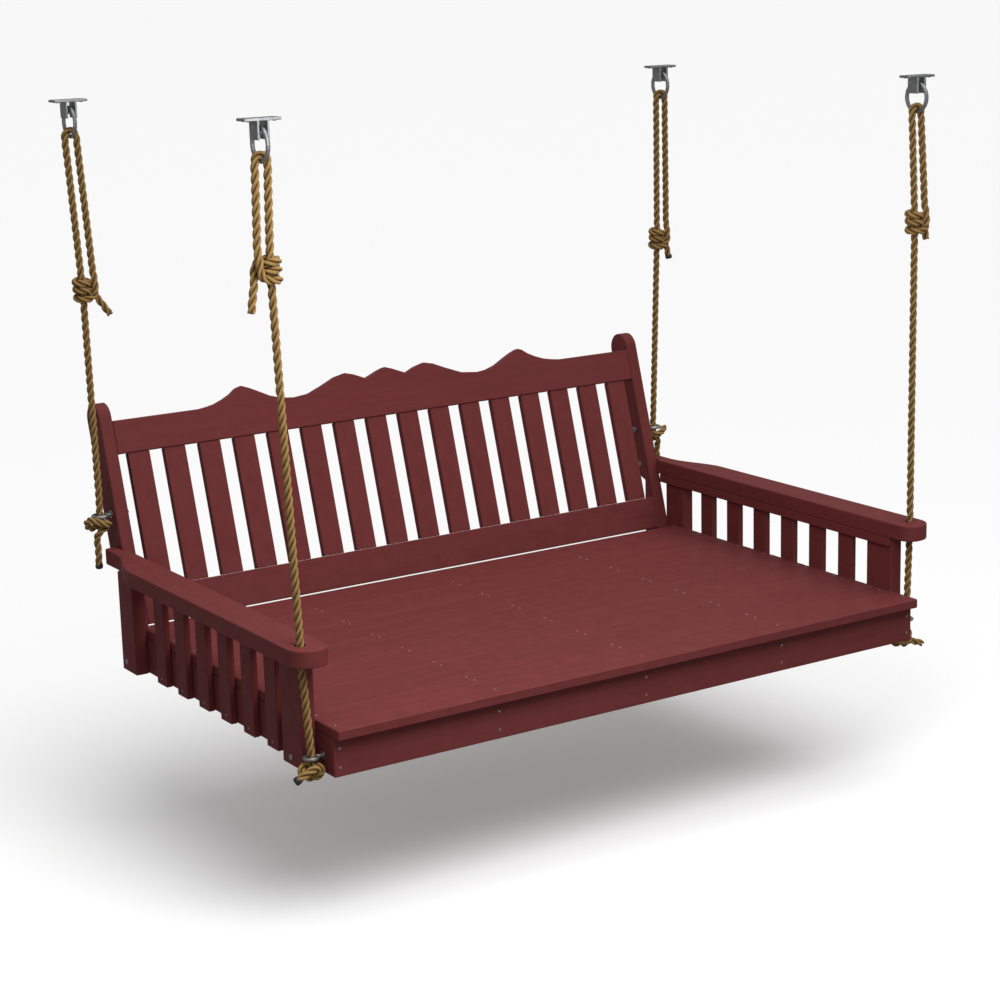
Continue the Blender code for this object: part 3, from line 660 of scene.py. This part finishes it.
def hanger_screw_places():
    for side in (-1, 1):
        for word in ("front", "rear"):
            pin = hang_line(side, word)[2]
            z = -HANGER_PLATE + SCREW_SINK - DECK_TOP_Z
            for shift in (-HANGER_SCREW_SHIFT, HANGER_SCREW_SHIFT):
                for across in (-HANGER_SCREW_ACROSS, HANGER_SCREW_ACROSS):
                    y = pin.y + across - DECK_FRONT_Y
                    yield (pin.x + shift, y, z), (0, 0, -1)


def screw_piece(name, places, body, slot, material, radius=SCREW_RADIUS, height=SCREW_HEIGHT):
    bm = bmesh.new()
    for i, (place, direction) in enumerate(places):
        add_screw(bm, seat_point(*place), direction, radius, height, i * SCREW_SPIN)
    mesh = bpy.data.meshes.new(name)
    bm.to_mesh(mesh)
    bm.free()
    mesh.shade_smooth()
    mesh.set_sharp_from_angle(angle=HEAD_CREASE)
    item = add_piece(name, mesh, material)
    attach(item, body)


def build_screws(steel):
    screw_piece("deck_screws", deck_screw_places(), "seat", "zinc_steel", steel)
    screw_piece("apron_screws", apron_screw_places(), "seat", "zinc_steel", steel)
    screw_piece("arm_slat_screws", arm_screw_places(), "seat", "zinc_steel", steel)
    screw_piece("hanger_screws", hanger_screw_places(), "ceiling", "zinc_steel", steel,
                *HANGER_SCREW)
    bolts = []
    for side in (-1, 1):
        for y, z in LEG_BOLTS:
            bolts.append(((side * (HALF_WIDTH + LEG_FACE - SCREW_SINK), y, z), (side, 0, 0)))
        bolts.append(((side * (HALF_WIDTH - POST_FACE), *POST_BOLT), (-side, 0, 0)))
    screw_piece("leg_bolts", bolts, "seat", "zinc_steel", steel, *BOLT_HEAD)


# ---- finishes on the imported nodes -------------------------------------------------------
def wood_axis(node):
    if node.startswith(("armrest", "side_rail", "joist", "arm_panel")):
        return "y"
    if node.startswith(("back_slat", "back_post", "front_post", "rear_leg")):
        return "z"
    return "x"


def finish_nodes(steel):
    paints = {axis: paint_material("paint along " + axis, axis) for axis in "xyz"}
    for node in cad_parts:
        item = bpy.data.objects.get(node)
        if item is None or "rope" in node:
            continue
        metal = "hanger" in node or "eye_bolt" in node
        material = steel if metal else paints[wood_axis(node)]
        for slot in item.material_slots:
            slot.material = material


# ---- studio -----------------------------------------------------------------------------
FLOOR_Z = DECK_TOP_Z - 0.46
FLOOR_HALF = 500.0
FLOOR_ALBEDO = 0.90
FLOOR_GLOW = 0.22            # lifts the floor to the white of the page
WORLD_STRENGTH = 0.29
SUN_PLACE, SUN_POWER, SUN_ANGLE = (0.7, -1.0, 2.2), 1.75, math.radians(60)
KEY_PLACE, KEY_POWER, KEY_SIZE = (-0.6, -1.6, 0.2), 20.0, 1.2


def add_floor():
    mesh = bpy.data.meshes.new("floor")
    half = FLOOR_HALF
    corners = [(-half, -half, 0), (half, -half, 0), (half, half, 0), (-half, half, 0)]
    mesh.from_pydata(corners, [], [(0, 1, 2, 3)])
    floor = bpy.data.objects.new("floor", mesh)
    bpy.context.collection.objects.link(floor)
    floor.location = (0.0, 0.0, FLOOR_Z)
    floor.visible_diffuse = False
    floor.visible_glossy = False
    n = Nodes("pale floor")
    n.shader.inputs["Base Color"].default_value = (*[FLOOR_ALBEDO] * 3, 1.0)
    n.shader.inputs["Roughness"].default_value = 0.9
    n.shader.inputs["Specular IOR Level"].default_value = 0.1
    n.shader.inputs["Emission Color"].default_value = (1.0, 1.0, 1.0, 1.0)
    n.shader.inputs["Emission Strength"].default_value = FLOOR_GLOW
    mesh.materials.append(n.mat)


def add_lamp(name, kind, place, target, power, spread):
    """Lamp at a place turned to a target; spread is a size in metres, or a sun's angle."""
    data = bpy.data.lights.new(name, kind)
    data.energy = power
    if kind == "SUN":
        data.angle = spread
    else:
        data.shape = "DISK"
        data.size = spread
    lamp = bpy.data.objects.new(name, data)
    bpy.context.collection.objects.link(lamp)
    lamp.location = place
    lamp.visible_camera = False
    aim = Vector(target) - Vector(place)
    lamp.rotation_euler = aim.to_track_quat("-Z", "Y").to_euler()


def add_studio():
    world = bpy.data.worlds.new("studio")
    world.use_nodes = True
    background = world.node_tree.nodes["Background"]
    background.inputs["Color"].default_value = (1.0, 1.0, 1.0, 1.0)
    background.inputs["Strength"].default_value = WORLD_STRENGTH
    bpy.context.scene.world = world
    bpy.context.scene.view_settings.view_transform = "Standard"
    middle = (0.0, 0.0, DECK_TOP_Z)
    add_lamp("overhead", "SUN", SUN_PLACE, middle, SUN_POWER, SUN_ANGLE)
    add_lamp("key", "AREA", KEY_PLACE, middle, KEY_POWER, KEY_SIZE)
    add_floor()


add_camera()
build_ropes()
zinc = steel_material("zinc plate", (0.34, 0.345, 0.35), 0.38, 0.58)
finish_nodes(zinc)
build_screws(zinc)
add_studio()
